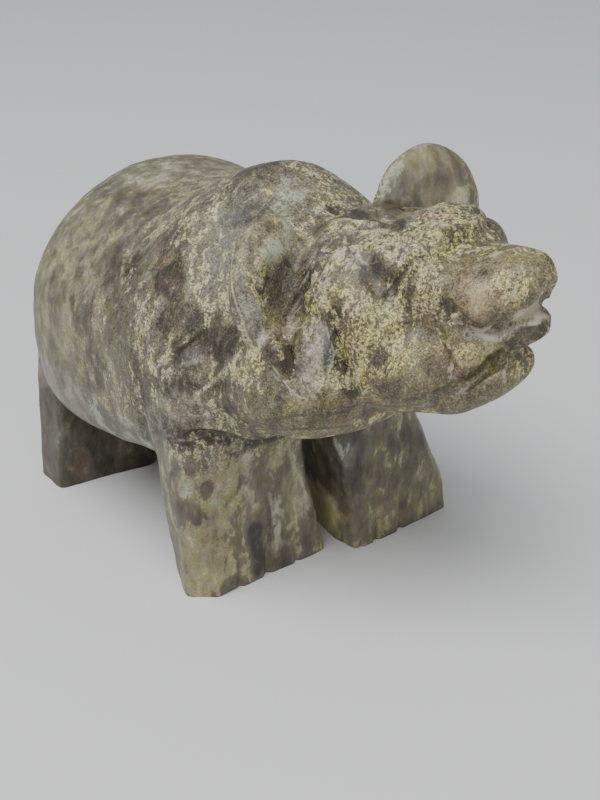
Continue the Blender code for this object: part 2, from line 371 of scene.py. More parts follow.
def lay_path(skin, path, space):
    """A smooth path through the given points, laid on the skin."""
    path = smooth_path([in_parts(point, space) for point in path])
    around = skin.points[in_box(skin.points, path.min(0) - SEARCH, path.max(0) + SEARCH)]
    laid = around[[((around - point) ** 2).sum(1).argmin() for point in path]]
    for _ in range(EASING):
        laid[1:-1] = (laid[:-2] + 2 * laid[1:-1] + laid[2:]) / 4
    return laid


def beside(skin, path, reach, space):
    """The points near a path on the skin, how far each is from it, plus to its left and minus to
    its right, and a strength that fades at both of its ends."""
    laid = lay_path(skin, path, space)
    close = in_box(skin.points, laid.min(0) - reach, laid.max(0) + reach)
    gaps = np.linalg.norm(skin.points[close, None] - laid, axis=2)
    nearest = gaps.argmin(1)
    last = len(laid) - 1
    ahead = laid[np.minimum(nearest + 1, last)] - laid[np.maximum(nearest - 1, 0)]
    ahead /= np.linalg.norm(ahead, axis=1, keepdims=True) + 1e-9
    offset = skin.points[close] - laid[nearest]
    onward = (offset * ahead).sum(1)
    offset -= ahead * onward[:, None]
    side = np.sign((offset * np.cross(skin.normals[close], ahead)).sum(1))
    along = END_FADE + (1 - 2 * END_FADE) * nearest / last
    fade = np.sqrt(np.clip(np.sin(math.pi * along), 0, 1))
    near = (gaps.min(1) < reach) & (np.abs(onward) < ALONGSIDE)
    return close[near], (np.linalg.norm(offset, axis=1) * side)[near], fade[near]


def groove(skin, path, width, depth, space=BODY):
    """A groove along a path, fading at both ends. A negative depth is a ridge."""
    close, away, fade = beside(skin, path, 2 * width, space)
    skin.depths[close] += depth * fade * np.exp(-((away / (width / 2)) ** 2))


def ledge(skin, path, width, depth, space=BODY):
    """A sharp step along a path: to its left the skin sinks at once and rises again slowly."""
    close, away, fade = beside(skin, path, width, space)
    drop = np.clip(away / SHARP_SIDE, 0, 1) * np.clip(1 - away / width, 0, 1) ** 1.5
    skin.depths[close] += depth * fade * drop


def within(points, centre, radii, turn=(0, 0, 0), space=BODY):
    """1 at an oval's centre, 0 at its edge and below 0 outside."""
    place = space @ Matrix.Translation(centre) @ rotation(turn)
    inverse = np.array(place.inverted())
    local = (points * PART) @ inverse[:3, :3].T + inverse[:3, 3]
    return 1 - ((local / np.array(radii)) ** 2).sum(1)


def dent(skin, centre, radii, depth, turn=(0, 0, 0), space=BODY):
    """A soft oval hollow. A negative depth raises a bulge."""
    skin.depths += depth * np.clip(within(skin.points, centre, radii, turn, space), 0, 1) ** 2


def grind(skin, centre, facing, reach, space=BODY):
    """Grinds a flat facet through a point: what stands out over it is pressed back to it, less so
    towards the reach."""
    normal = np.array((space.to_3x3() @ Vector(facing)).normalized())
    offset = skin.points - in_parts(centre, space)
    height = np.clip(offset @ normal, 0, None)
    gap = np.linalg.norm(offset, axis=1) / reach
    skin.points -= (height * np.clip(3 * (1 - gap), 0, 1))[:, None] * normal


def ripple(points, size):
    """Smooth random values from about -1 to 1 that change over the given size, in parts."""
    return np.array([perlin.noise(point) for point in (points / size).tolist()])


def mirrored(path):
    return [(-x, y, z) for x, y, z in path]


def both_sides(path):
    return [path, mirrored(path)]


def at(*places, **makings):
    """A row of the tables: the places that a line or stain runs through, and what it is made of."""
    return list(places), makings


# Lines on the stone. A line is made of a groove (its width and depth, below zero for a ridge) and a
# thin dark or light line (its width). Dark lines are partly the stone's own and partly painted shade in
# grooves and under ledges; light lines are partly pale scratches and partly painted highlights on ridges.

CHEEK_CRACK = [(-8.1, -14.1, 2.5), (-7.9, -15, -0.1), (-7.6, -15.7, -2.9), (-6.8, -16.1, -6.5)]
CHEEK_FOLD = [(-13.7, -4, 4.2), (-14, -3, 0.8), (-14.2, -2.9, -1.8), (-14.3, -4.1, -5.9)]
TEMPLE_RIDGE = [
    (-5, -0.5, 11.4), (-7.3, -1.8, 10.7), (-9.2, -1.7, 9.7),
    (-11.8, -1.1, 7.8), (-13.4, 0.9, 5.7), (-13.8, 4, 2.5),
]

HEAD_LINES = [
    # Crown
    # Dark lines laid in the crown's grooves here are painted shade in them.
    at(
        (-6.6, 1.7, 10.9), (-4.9, 1.7, 11.4), (-3.9, -0.6, 11.6), (-2.4, -4.1, 11.7), (-3.2, -8.2, 11.5),
        groove=(1.2, 0.7), dark=0.8,
    ),
    at((-5.8, 3.1, 11), (-3.6, 3.1, 11.5), (-2.5, 0.5, 11.8), (-1.2, -2.8, 11.8), groove=(0.9, -0.4)),
    at(
        (-2.5, 6.7, 10.9), (-0.1, 6.6, 11), (-0.3, 2.3, 11.8), (-0.5, -1.3, 11.9),
        groove=(0.9, 0.6), dark=0.5,
    ),
    at(
        (2.3, 7.9, 11.2), (1.6, 4, 11.5), (0.6, -1, 11.8), (-1.8, -6.1, 11.8), (-2.5, -8.1, 11.6),
        groove=(1, 0.5), dark=0.6,
    ),
    at(
        (-8.1, 0.8, 10.3), (-6.5, 1.1, 11), (-5.4, -0.4, 11.3), (-4.6, -3.5, 11.3),
        groove=(0.9, 0.7), dark=0.45,
    ),
    at((-6.3, 2.2, 11), (-4.7, 1, 11.5), (-4.2, -2.8, 11.4), (-3.9, -6.3, 11.5), light=0.3),
    at((-2.2, 4.4, 11.5), (-1.8, 1.5, 11.8), (-1.3, -0.8, 11.8), light=0.6),
    # Right temple and eye
    # Light lines on the temple's ridges are painted highlights, and dark lines in its grooves painted shade.
    at(
        (-11.2, -2.7, 8.1), (-12.8, -0.6, 6.7), (-12.5, 2.3, 4.2), (-13.8, 3.5, 3.3),
        groove=(0.9, -0.6), light=0.4,
    ),
    at((-6.8, 0.7, 10.9), (-10.4, 1.6, 9), (-11.6, 3.4, 6.1), groove=(0.8, -0.4), light=0.3),
    at((-6.4, 2.4, 10.9), (-9.8, 1.8, 9.2), (-12, 3, 6), (-13.5, 5, 2.5), groove=(1, 0.5), dark=0.5),
    at(*TEMPLE_RIDGE, groove=(0.9, -0.45)),
    at(*TEMPLE_RIDGE[:-1], light=0.3),
    at((-8.2, -0.7, 10.3), (-11.4, -0.2, 8.3), (-13.1, 0.9, 6.1), groove=(0.9, 0.3), dark=0.4),
    at((-9, 0.2, 9.9), (-11, 1.2, 8.2), (-12.2, 2.8, 5.6), dark=0.35),
    at((-7.4, -2.2, 10.6), (-8.5, -2.5, 10), (-9.7, -2.1, 9.4), light=0.25),
    at((-7, -4.4, 10.4), (-8.5, -4.4, 9.6), (-9.2, -4, 9.3), light=0.25),
    at(
        (-7, -6.2, 10.1), (-8.3, -5.3, 9), (-9.3, -5.6, 7.7), (-10, -6.7, 6.1), (-10.2, -8.2, 4.6),
        dark=0.4,
    ),
    # A painted glint on the right eye.
    at((-8.2, -5.1, 9.1), (-8.5, -5.8, 8.7), light=0.35),
    # Painted shade along the crease in front of the right eye.
    at((-6.4, -11.6, 8.6), (-7.5, -10.3, 7), (-8.4, -9.1, 5.7), (-10.3, -8.6, 4.1), dark=0.5),
    # Snout, tongue and lips
    at((-4.9, -13.6, 8.1), (-2.4, -14.9, 8), (0.4, -16.4, 7.6), (3.8, -17.4, 6.9), light=0.3),
    at((-5, -15.1, 7.2), (-3.2, -16.8, 7.1), (-2.6, -18, 7.2), (-1.3, -19.2, 7.4), groove=(0.8, 0.25)),
    # A painted highlight along the ridge over the snout.
    at(
        (-3.8, -16.9, 7), (-2.8, -18.4, 7.2), (-0.7, -19.5, 7.4), (2.1, -22.3, 7.1),
        groove=(0.9, -0.45), light=0.4,
    ),
    at((-1, -23.8, 7), (-3.4, -24, 5.1), (-4.3, -23.3, 3.6), light=0.3),
    at(
        (0, -26.2, 3.4), (-2.7, -23.9, 1.3), (-4.8, -19.8, -0.7), (-6.2, -18.4, 0.1), (-7.5, -16.7, 1.8),
        light=0.35,
    ),
    at((-6, -18.6, -1.2), (-5.2, -19.7, -1.3), (-4.4, -20.5, -0.7), (-3.4, -22.1, -0.4), light=0.5),
    at((-3.1, -22.9, -0.8), (-2.4, -23.8, -1.2), (-0.9, -24.8, -1.1), dark=0.35),
    at((-4.1, -20.8, -3.7), (-3.3, -19.9, -5.9), (-4, -19.9, -7.2), light=0.3),
    # Painted shade along the groove under the lower lip.
    at(
        (-3.2, -19.8, -5.6), (-4.9, -18.3, -6.8), (-6.7, -16.6, -7.8), (-8, -14.7, -8),
        groove=(0.8, 0.3), dark=0.35,
    ),
    # Across the crown to the brow
    at((9.2, 5.7, 11.3), (2.9, -0.6, 11.8), (-2, -6.7, 11.8), (-3.3, -10.3, 11.1), groove=(1, 0.35)),
    # Right cheek, throat and ear
    at(*CHEEK_FOLD, groove=(1.2, 0.4)),
    at(*CHEEK_CRACK, dark=0.35),
    at(
        (-14, -1.9, 3.2), (-14.3, -2.5, 0.9), (-14.6, -2.6, -1.7), (-16.4, -2.1, -3.4), (-18.3, -1.4, -5),
        light=0.2,
    ),
    at(
        (-21.9, 5.2, -7.3), (-19.7, 0.4, -7.2), (-15.1, -2.9, -8.5),
        (-12.2, -8.8, -8.4), (-9.1, -13.6, -8.4),
        dark=0.3,
    ),
    at((-21.1, 5.2, -9.2), (-18.7, 0.4, -9.7), (-14, -2, -11.2), dark=0.4),
    at((-16.6, 2.4, 2.6), (-17, 1, 1), (-17.8, 0.6, -0.8), (-19, 1.4, -1.6), groove=(1.5, 0.9)),
    # A painted highlight along the right ear's rim.
    at(
        (-12, 6.6, 15.3), (-15.1, 7.2, 14.4), (-17.6, 6.9, 12.3),
        (-19.4, 6.4, 9.4), (-20.1, 5.8, 5.9), (-19.8, 5.8, 1.6),
        light=0.2,
    ),
    at((-14.3, 4.8, 0.9), (-14.7, 1.7, 2.8), (-13.9, -0.9, 3.6), light=0.15),
    at((-20.1, 2.7, -0.3), (-20.1, 1.2, -2.6), (-19.5, -0.2, -4.7), (-17.9, -1.6, -5.4), light=0.15),
    at((-11.6, 5.2, 9.4), (-13, 4.9, 7.4), (-14.6, 4.8, 5), dark=0.25),
    at((-12.6, 5, 9.2), (-13.9, 4.8, 7.6), (-15.4, 4.7, 5.2), dark=0.2),
]

SHOULDER_RIDGES = [
    [(-20.2, -0.4, 44.2), (-21.9, 0.9, 42.4), (-23.7, 2.4, 40.3), (-24.8, 4.9, 37.5)],
    [(-19.6, -5, 40.8), (-20.8, -2.1, 39.6), (-22.7, 0.5, 38.4), (-24.8, 4, 36.4)],
    [(-20.6, -6, 40), (-21.6, -5.2, 38.9), (-21.6, -2, 35.8), (-22.7, -0.2, 33.6)],
]
SHOULDER_FOLD = [(-24.9, 9.4, 36), (-25, 9, 30.6), (-24.2, 9.6, 26), (-22.6, 10.4, 21)]
FLANK_FOLD = [(-19.4, 23, 47), (-22.4, 19.3, 43.6), (-23.9, 16.3, 41), (-25, 13.7, 37.3)]
NECK_FOLD = [(-13.2, 4.8, 54.9), (-11.1, 3.2, 55.5), (-8.5, 2.9, 56.6), (-6.2, 3, 57.4)]
LEG_TOP = [(-24.4, 2.2, 27.2), (-23.3, 0.3, 28), (-19, -0.9, 27.4), (-14, -1.4, 25), (-7, -2, 23.6)]

BODY_LINES = [
    # Dark lines in the groove over the right foreleg and in the fold behind the shoulder: painted shade.
    at(*LEG_TOP, dark=0.7),
    at(*SHOULDER_FOLD, dark=0.6),
    at((-25.1, 10, 30.3), (-24.5, 8.9, 25.9), (-23.1, 8.6, 18.2), light=0.3),
    at((-22.5, -0.2, 31.1), (-20.5, -2.5, 32.2), light=0.25),
    # Right front leg
    at((-24.4, 1.9, 22.7), (-24.3, 3.9, 21.1), (-23.3, 6.3, 15.1), dark=0.5),
    at((-10.5, -0.2, 14.1), (-10.3, -0.1, 7.8), (-10.4, -0.1, 2), dark=0.5),
    at((-9.8, -0.2, 13.9), (-9.1, -0.2, 9.1), (-8.4, -0.2, 3.5), light=0.9),
    at((-5.5, -0.3, 19), (-4.8, -0.2, 16), (-3.2, -0.2, 10), (-2.7, 0.2, 7), light=0.4),
]

# Where each kind of stone lies: a round patch at one place or a band through more, and each kind's
# (width, amount) there. A negative amount takes away what the kind has around it. Some dark stains are
# painted shade in folds and under the belly, and some negative ones painted light in shaded places;
# the pale quartz kind also lays a painted highlight on the tongue's top.

KINDS = ("moss", "dark", "quartz", "teal", "warm", "rust")

HEAD_STAINS = [
    # Crown and brow
    at((-6, -8, 10.7), (-3.5, -11, 10.8), (1, -12, 11), (8, -9, 10.5), moss=(5, 0.5)),
    at((-8, -1, 10.2), (-11.5, 0, 8.3), (-13, 1, 6), moss=(2.6, 0.5)),
    at((-2.5, 6, 11), (0, 2, 11.9), (2, -3, 11.9), moss=(3, -0.6)),
    at((-2.5, 6, 11), (0, 2, 11.9), dark=(2.6, 0.3)),
    at((3.8, 2.8, 10.6), (7, 3, 10), moss=(3, -0.8), dark=(3, 0.35)),
    at((-0.2, -6.3, 11.8), (4, -5, 11), (8, -2, 10), moss=(3.4, -1)),
    at((-6.4, -1.2, 11), moss=(2.4, -0.7), dark=(2, 0.25)),
    at((-2, 4.2, 11.6), (-1.6, 1.6, 11.8), (-1.4, -0.6, 11.8), dark=(1.5, -1.2)),
    at((2.3, 7.9, 11.2), (1.8, 4, 11.4), (1, -1, 11.7), (-1.8, -6.1, 11.8), dark=(1.6, 0.7)),
    at((8.2, 3.9, 10.3), (11.2, 2.9, 9.8), dark=(3, 0.25)),
    at((-9.9, 0.4, 9.4), (-11.9, 2.7, 6), dark=(2.4, 0.3)),
    # Right eye
    at((-8.6, -7, 7.7), (-8.8, -8.2, 6.6), moss=(3.2, -1.1), dark=(2.9, 0.65)),
    at((-7.4, -8.6, 9.1), dark=(1.6, -0.4)),
    # Painted shade along the crease in front of the right eye.
    at((-6, -12, 8.6), (-7.6, -9.8, 6.5), (-8.6, -8.8, 5.1), dark=(1.4, 0.35)),
    # Right cheek, with its glassy facet
    at((-10, -8, 4.5), (-12, -9, 1.7), (-13.5, -7, -2), moss=(5, 0.6)),
    at((-12, -8.8, 1.7), dark=(2.4, -0.3)),
    at((-8, -13, 4.8), (-6.5, -15, 6), moss=(4, 0.2)),
    at((-8, -13.1, 4.8), dark=(3, 0.5)),
    at((-8.6, -12.8, 1.7), moss=(3, -0.5), dark=(3, 0.45), rust=(3, 0.3)),
    at((-9.2, -14.6, -2.7), (-10.5, -12, -4.5), moss=(3.2, -0.5)),
    at((-9.2, -14.6, -2.7), dark=(2.6, 0.3), rust=(3, 0.4)),
    at((-7.7, -15.7, 3), dark=(2, 0.8)),
    at((-13.1, -9.5, -5.9), (-11, -11.5, -6.2), moss=(3, -0.9), dark=(2.4, 0.5)),
    at((-13.1, -7.7, -1.1), moss=(2.6, -0.5), dark=(2.6, 0.4)),
    # Painted shadow along the fold behind the right cheek.
    at(*CHEEK_FOLD, dark=(1.6, 0.95)),
    at((-15, -1.4, 1.8), (-16.6, -1.1, -1), (-18.4, -0.6, -3), moss=(2.6, -0.5), quartz=(2.8, 0.7)),
    at((-15.6, -0.9, 2), moss=(1.4, 0.8)),
    at((-14.3, -2.2, 1), (-14.7, -2.5, -1.7), teal=(1.3, 0.8)),
    # Snout
    at((-5.5, -18.5, 5.6), (-6.2, -20.5, 3.6), moss=(4.5, -0.9)),
    at((-5.5, -18.5, 5.6), (-6.2, -20.5, 3.8), rust=(4, 0.8)),
    at((-4.4, -22.8, 5.3), moss=(3.2, 1.1)),
    at((-2.9, -18, 7.1), (-0.9, -24, 6.6), (-0.9, -26.2, 5), moss=(3, -0.5)),
    at((-7, -17.6, 1.8), (-5.4, -20.2, 0.9), dark=(2.6, 0.35)),
    at((-4.1, -23, 5.3), (-6, -20.8, 3.8), (-0.5, -22.9, 7.2), dark=(3, -0.3)),
    at((-3, -18.5, 7.1), dark=(3, 0.3)),
    at((-3, -20, 3), (-6, -16, -5), (-12, -8, -4), warm=(16, 0.9)),
    at((-13, -3, 6), (-16, 2, 0), warm=(7, 0.5)),
    # Gums and tongue
    at((-7, -17, -0.4), (-5.6, -19.2, -1.3), (-3.9, -21.4, -0.7), moss=(2.2, -0.8)),
    at((-6.4, -18, -0.9), (-5.6, -19.2, -1.3), (-3.9, -21.4, -0.7), quartz=(1.6, 0.8)),
    # Lightened against the shade inside the mouth: painted light.
    at((-5.6, -19.2, -1.3), (-3.9, -21.4, -0.7), dark=(1.4, -0.4)),
    at((-2, -24.3, 0.5), (-3.2, -23.3, -1.9), moss=(3.2, -1.2)),
    # The tongue's front and underside darkened: painted shade.
    at((-3.2, -22.4, -3), (-3.3, -23.2, -2), (-1, -24.6, -2), dark=(1.7, 0.9)),
    # The tongue's top lightened and paled: a painted highlight.
    at((-3, -23.4, 0.4), (-1.9, -24.3, 0.6), (0.3, -24.6, 0.4), dark=(1.8, -0.9), quartz=(1.7, 1.2)),
    at((-3.2, -23.2, -2.2), rust=(2, 0.4)),
    at((-4.7, -20, -3.4), (-4, -19.5, -5.5), moss=(2.2, -1)),
    # Lightened in the shaded fold of the mouth: painted light.
    at((-4.7, -20, -3.4), dark=(1.4, -0.3)),
    at((-6, -17.3, -4), moss=(2.4, 0.5)),
    # Lightened in the shaded corner of the mouth: painted light.
    at((-5.8, -17.3, -4), dark=(2.4, -0.8)),
    at((-7.5, -15.8, -5.3), dark=(2.6, 0.3), quartz=(2.4, 0.3), rust=(2.6, 0.5)),
    # Lower jaw and throat
    at((-4, -19.5, -7), (-6.5, -17, -7.6), (-9, -14, -8.5), moss=(3.4, -0.7)),
    at((-6.2, -17.1, -7.5), (-9, -14, -8.5), dark=(2.4, 0.3)),
    at((-22, 5, -7.3), (-19.7, 0.4, -7.2), (-15, -3, -8.5), (-12, -9, -8.4), moss=(4, -0.45)),
    at((-14.4, -13.6, -9), (-17, -3, -8.4), (-21, 4, -8), dark=(2.6, 0.3)),
    at((-7.2, -14.8, -10.4), rust=(3, 0.5)),
    # Right ear
    at((-12, 6.5, 15), (-14.9, 6, 14.3), (-17.9, 5.9, 12.1), moss=(3.2, -0.8)),
    at((-16.4, 4.9, 11), (-17, 4.8, 8.5), moss=(3, 0.8)),
    at((-10.6, 4.3, 9.4), (-12.6, 4.8, 7), (-14.5, 4.6, 4.5), moss=(3.8, -1.3), dark=(2.6, 0.35)),
    at((-19.3, 5.3, 8), (-18.8, 4.8, 5.5), (-19.4, 4.3, 2.5), moss=(1.8, -0.8), quartz=(1.3, 0.9)),
    at((-14.9, 6, 14.3), (-16.2, 4.9, 11.3), (-18.4, 5.2, 10), dark=(3, -0.4)),
    at((-8.5, 6.5, 12.2), (-10.2, 5.3, 12.2), (-13.5, 5, 11.5), dark=(2.6, -0.7)),
    at((-7, 7.5, 12.3), (-10.2, 5.3, 12.2), (-13.5, 5, 11.5), teal=(1.8, 0.7)),
    at((-18.8, 4.9, 7), dark=(1.6, -0.2)),
    at((-19, 4.8, 6.5), teal=(2, 0.5)),
    at((-19.4, 2.2, 1.2), dark=(3, 0.35)),
    at((-18.6, 1, -1), dark=(2.2, 0.4)),
    at((-19.2, 2.4, 1.5), dark=(2.6, 0.3)),
    at((-17.5, 1.5, 1.5), (-18.2, 0.9, 0.2), (-18.6, 0.8, -1.2), dark=(1.3, 0.8)),
    # Left ear
    at((13.5, 1.9, 9.7), (16.8, 0.9, 10.6), (14.5, 1.9, 7), moss=(6, -1.2), dark=(5, -0.25)),
    at((11.7, 3.6, 13.3), (9.2, 4.5, 11.5), moss=(2, 0.6), teal=(2, 0.5)),
    at((18.9, 0.1, 6.2), (19, -2, 4), moss=(2.6, 1), teal=(2.4, 0.6)),
    at((18.9, 0.2, 6.2), dark=(2.2, -0.8)),
    at((19, -2, 8), quartz=(3, 0.5)),
]

BODY_STAINS = [
    # Hump, neck and throat
    at((-10.7, 4.9, 56.6), (-7, 8, 59), (-3.5, 8.5, 60), moss=(3.4, -0.5), dark=(2.8, 0.55)),
    at(*NECK_FOLD[:-1], moss=(1.4, -0.6), dark=(1.3, 0.5)),
    at((-6, 1.1, 56.5), (-2.5, 3.5, 58), moss=(4, -0.9), teal=(3.6, 0.5)),
    at((-6, 1.1, 56.5), (-3, 3, 57.8), quartz=(2.4, 0.3)),
    at((-14.6, 6, 54.3), (-10.6, 4.9, 56.5), moss=(3, -0.3)),
    at((-7.2, 7.2, 59), (-3.5, 8.1, 60), moss=(3, -0.4)),
    at((-1.6, 2.8, 57.9), dark=(3, -0.35)),
    at((-14, -16, 35.5), (-19.7, -12.7, 34.2), moss=(5, -0.5)),
    at((-14, -16, 35.5), rust=(4, 0.3)),
    at((-16, -12, 34), warm=(9, 0.7)),
    # Right shoulder
    *(at(*ridge, moss=(1, 0.8), dark=(1, -0.5)) for ridge in SHOULDER_RIDGES),
    at((-19.5, 12, 49.5), (-20.7, 7.9, 48), (-21.2, 5.7, 46.4), moss=(3.4, -1.2)),
    at((-18.4, 10.6, 51.2), (-19.5, 10, 49.8), (-20.7, 7.9, 48), dark=(3.4, 0.45)),
    at((-20.7, 7.9, 48), (-21.2, 6.5, 47), dark=(2.8, 0.95)),
    at((-19.5, 11, 49.6), (-20.5, 8, 48.3), rust=(3, 0.4)),
    at((-22.8, 5.7, 43.3), (-22, 5.1, 44.6), (-21.2, 2.2, 44.3), moss=(2.6, -0.9)),
    at((-22.8, 5.2, 43.3), (-22, 5.1, 44.6), (-21.2, 2.2, 44.3), dark=(2.2, 0.6)),
    at((-20, -3.5, 42.2), (-22, 0.5, 41), moss=(4, -1.2)),
    at((-20, -4, 42.4), (-20.7, -0.6, 42.6), (-22.2, 1.2, 40.5), dark=(3.4, 0.95)),
    at((-23, 1.5, 35.5), (-23.5, 1.5, 32), (-23.5, 8, 25), moss=(5, -0.7), quartz=(5, 0.35)),
    at((-21.6, -5.7, 36.3), moss=(3.4, -0.3)),
    at((-21.6, -5.7, 36.2), dark=(3, 0.25)),
    at((-21.9, -0.7, 38.3), dark=(2.4, -0.4)),
    at((-24.8, 3.4, 36.2), (-22.1, -0.9, 37.1), dark=(2, 0.45)),
    at((-24.4, 2.9, 33.7), dark=(1.8, 0.6)),
    at((-24.6, 4, 32.2), dark=(1.5, -0.4)),
    at((-24, 1, 33), (-23.5, 3, 31.5), dark=(2.6, -0.35)),
    at((-21, -2, 34), (-24, 6, 30), dark=(9, 0.2)),
    at((-24.5, 4.7, 27.3), dark=(1.8, 0.6)),
    at((-24, 7.9, 24.4), dark=(3, 0.25)),
    # Back and right flank
    at(*FLANK_FOLD, moss=(2.6, -0.6), dark=(2.2, 0.3)),
    at((-13.7, 28.2, 50.9), (-12.5, 22.8, 51.6), moss=(5, -0.5), dark=(5, 0.4)),
    at((-24.6, 24.6, 38.3), moss=(4, -0.5), dark=(5, 0.4)),
    at((-7.6, 20.8, 53.8), moss=(5, 0.5)),
    at((-22, 31, 43.7), (-25, 32, 37), moss=(8, 0.3)),
    at((-21.4, 45, 21), (-25, 34, 23.5), (-24.6, 28.6, 22.4), moss=(5, -0.9), quartz=(5, 1.1)),
    at((-20.6, 18, 46.4), dark=(3, 0.55)),
    at((-6.4, 32, 53.3), (-7.8, 36.2, 52.7), dark=(6, -0.3)),
    at((-6.4, 31.8, 53.3), (-7.8, 36, 52.7), teal=(6, 0.4)),
    at((-24.9, 21.5, 30.3), dark=(5, 0.35)),
    at((-24.2, 23.6, 22.4), (-23.5, 20.8, 21.1), (-24.1, 11.6, 23.7), teal=(4, 0.6)),
    # Right front leg
    at((-22, -0.2, 20), (-17, -0.2, 22), (-22.5, 0.5, 10), moss=(4, 0.6), dark=(6, 0.15)),
    at((-22.4, -0.1, 17.8), (-23.6, 2.8, 13.6), moss=(3, -0.5)),
    at((-23.6, 2.8, 13.6), dark=(5, 0.3)),
    at((-22, 1.2, 4.3), moss=(6, 0.6)),
    at((-13, -0.2, 9), (-12.4, -0.2, 2), moss=(2, -1.2), dark=(2, 0.9)),
    at((-7.5, -0.2, 5), (-7.2, -0.2, 1), moss=(2, -1), dark=(2, 0.35)),
    at((-4.6, -0.2, 9), (-5, -0.2, 13), moss=(3, -0.7)),
    at((-4.6, -0.2, 9), (-6, -0.2, 14), dark=(3, -0.5)),
    at((-4.6, -0.2, 9), quartz=(3, 0.4)),
    # Painted shade along the groove over the right foreleg.
    at(
        (-24.4, 2.2, 27), (-23.3, 0.3, 27.7), (-19, -0.9, 27), (-14, -1.4, 24.8), (-7, -2, 23.4),
        dark=(1.8, 0.75),
    ),
    at((-20, -0.3, 20), (-13, -0.3, 19), (-8, -0.3, 17), teal=(8, 0.25)),
    at((-21, 0, 5), (-20, 0, 15), warm=(8, 0.5)),
    at((-21.5, -0.7, 29.4), rust=(1.8, 0.6)),
    # Left front leg
    at((-0.5, -3, 22), (2, -3.5, 14), (1.5, 0, 6), moss=(7, -1.2)),
    at((-0.5, -3, 22), (2, -3.5, 14), dark=(6, 0.5)),
    at((14, -3.5, 14), (14, -3.5, 5), moss=(6, -0.5), dark=(6, 0.3)),
    at((1, -3, 19.5), (2.5, -3.6, 16.5), moss=(3, 0.9)),
    at((2.5, -3.6, 17.4), dark=(2.4, -0.4)),
    at((2.5, -3.6, 17.5), teal=(5, 0.5)),
    # Lightened between the front legs, where their inner sides lie in shade: painted light.
    at((3, 4, 5), (4.1, 6.6, 4), dark=(6, -1.4)),
    at((13.1, -3.2, 5.2), (19.2, -3.6, 4.8), dark=(6, -0.3)),
    # Right hind leg
    # The dark on the hind leg is partly its own dark olive stone and partly painted shade under the belly.
    at((-10.5, 38.5, 12), (-10.5, 38.5, 3), moss=(8, -1)),
    at((-10, 38.5, 12), (-10, 38.5, 3), dark=(8, 0.65)),
    at((-21.5, 41, 13), (-21, 41, 2), moss=(9, -0.5), dark=(9, 0.6)),
    at((-21.5, 40.4, 10), teal=(5, 0.3)),
    at((-19, 40, 3), rust=(3, 0.7)),
]


# Carving: what is cut, over the whole bear

def carve_face(skin):
    """Eye sockets, the creases in front of them and the lips on both sides of the face, then the
    ledge over the snout, the fold behind the right cheek and the dip beside the left ear."""
    before_eye = [(-5.5, -11.5, 8), (-7.6, -9.8, 5.6), (-10.5, -8.4, 3.6)]
    upper_lip = [(-7, -16.6, 3.6), (-6.9, -18.8, 0.8), (-5.5, -20.6, -0.6), (-3.2, -23.4, 0)]
    lower_lip = [(-2.4, -19.1, -5.5), (-4.7, -17.8, -6.5), (-7, -15.7, -7.3), (-10.3, -13.1, -7.4)]
    over_snout = [(-6, -12.6, 8), (-3, -14.5, 9), (2, -15.4, 9), (6, -14, 8)]
    behind_cheek = [(-12.5, 0, 4), (-14.4, -3.4, 1), (-15.4, -3.6, -2.5), (-16.2, -1, -6)]
    for side in (1, -1):
        dent(skin, (-9 * side, -7.5, 7), (5, 5, 5.6), 0.8, space=HEAD)
    for path, width, depth in ((before_eye, 2.4, 0.8), (upper_lip, 1.4, 1), (lower_lip, 1.4, 0.9)):
        for sided in both_sides(path):
            groove(skin, sided, width, depth, HEAD)
    groove(skin, over_snout, 2.2, 0.9, HEAD)
    groove(skin, behind_cheek, 2, 0.8, HEAD)
    dent(skin, (6, -1.5, 12.5), (10, 7.5, 6), 2.6, space=HEAD)
    skin.press()


def refine_face(skin):
    """The finer cuts on the face: sharp creases, the eyes, the corners of the mouth, the step under
    the snout and the grinding lines, then the ground facets of the cheek, the tongue and the nose."""
    crease = [(-5.5, -12.2, 8.9), (-7, -11.1, 8), (-7.6, -9.7, 6.5), (-8.7, -8.7, 5.1)]
    gum = [(-7, -17, 0.2), (-6.3, -18, -1), (-5.2, -19.8, -2.4), (-3.6, -22.6, -2.6)]
    fold = [(-4.3, -21, -3.4), (-3.8, -19.1, -5.1), (-5.1, -17.3, -6.6), (-6.6, -16, -7.5)]
    under_snout = [
        (0, -26.2, 3.2), (-2.7, -23.9, 1.2), (-4.8, -20, -0.4), (-6.2, -18.4, 0.3), (-7.5, -16.7, 1.8),
    ]
    for path, width, depth in ((crease, 0.9, 0.6), (CHEEK_CRACK, 0.9, 0.4), (gum, 1, 0.4), (fold, 1.2, 0.8)):
        for sided in both_sides(path):
            groove(skin, sided, width, depth, HEAD)
    for side in (1, -1):
        dent(skin, (-8.7 * side, -7.9, 7.2), (2.9, 2.9, 3), 0.7, space=HEAD)
        dent(skin, (-8.6 * side, -4.4, 9.3), (2.4, 2.2, 2), -0.3, space=HEAD)
        dent(skin, (-7.5 * side, -16, 3), (1.7, 1.7, 2.2), 0.8, space=HEAD)
    ledge(skin, under_snout, 2, 1, HEAD)
    ledge(skin, mirrored(under_snout)[::-1], 2, 1, HEAD)
    for path, makings in HEAD_LINES:
        if "groove" in makings:
            groove(skin, path, *makings["groove"], HEAD)
    skin.press()
    grind(skin, (-16.4, -0.9, -0.9), (-0.78, -0.62, 0.05), 4.5, HEAD)
    for side in (1, -1):
        grind(skin, (-1.4 * side, -24.3, -0.9), (-0.4 * side, -0.5, 0.77), 2.6, HEAD)
        grind(skin, (-2.4 * side, -23.2, -1.3), (-0.7 * side, -0.64, -0.3), 3.4, HEAD)
        grind(skin, (-1.8 * side, -25.2, 5), (-0.7 * side, -0.68, 0.22), 2.6, HEAD)
    grind(skin, (-0.4, -25.6, 3.2), (0.1, -0.67, -0.74), 4, HEAD)
    skin.settle()


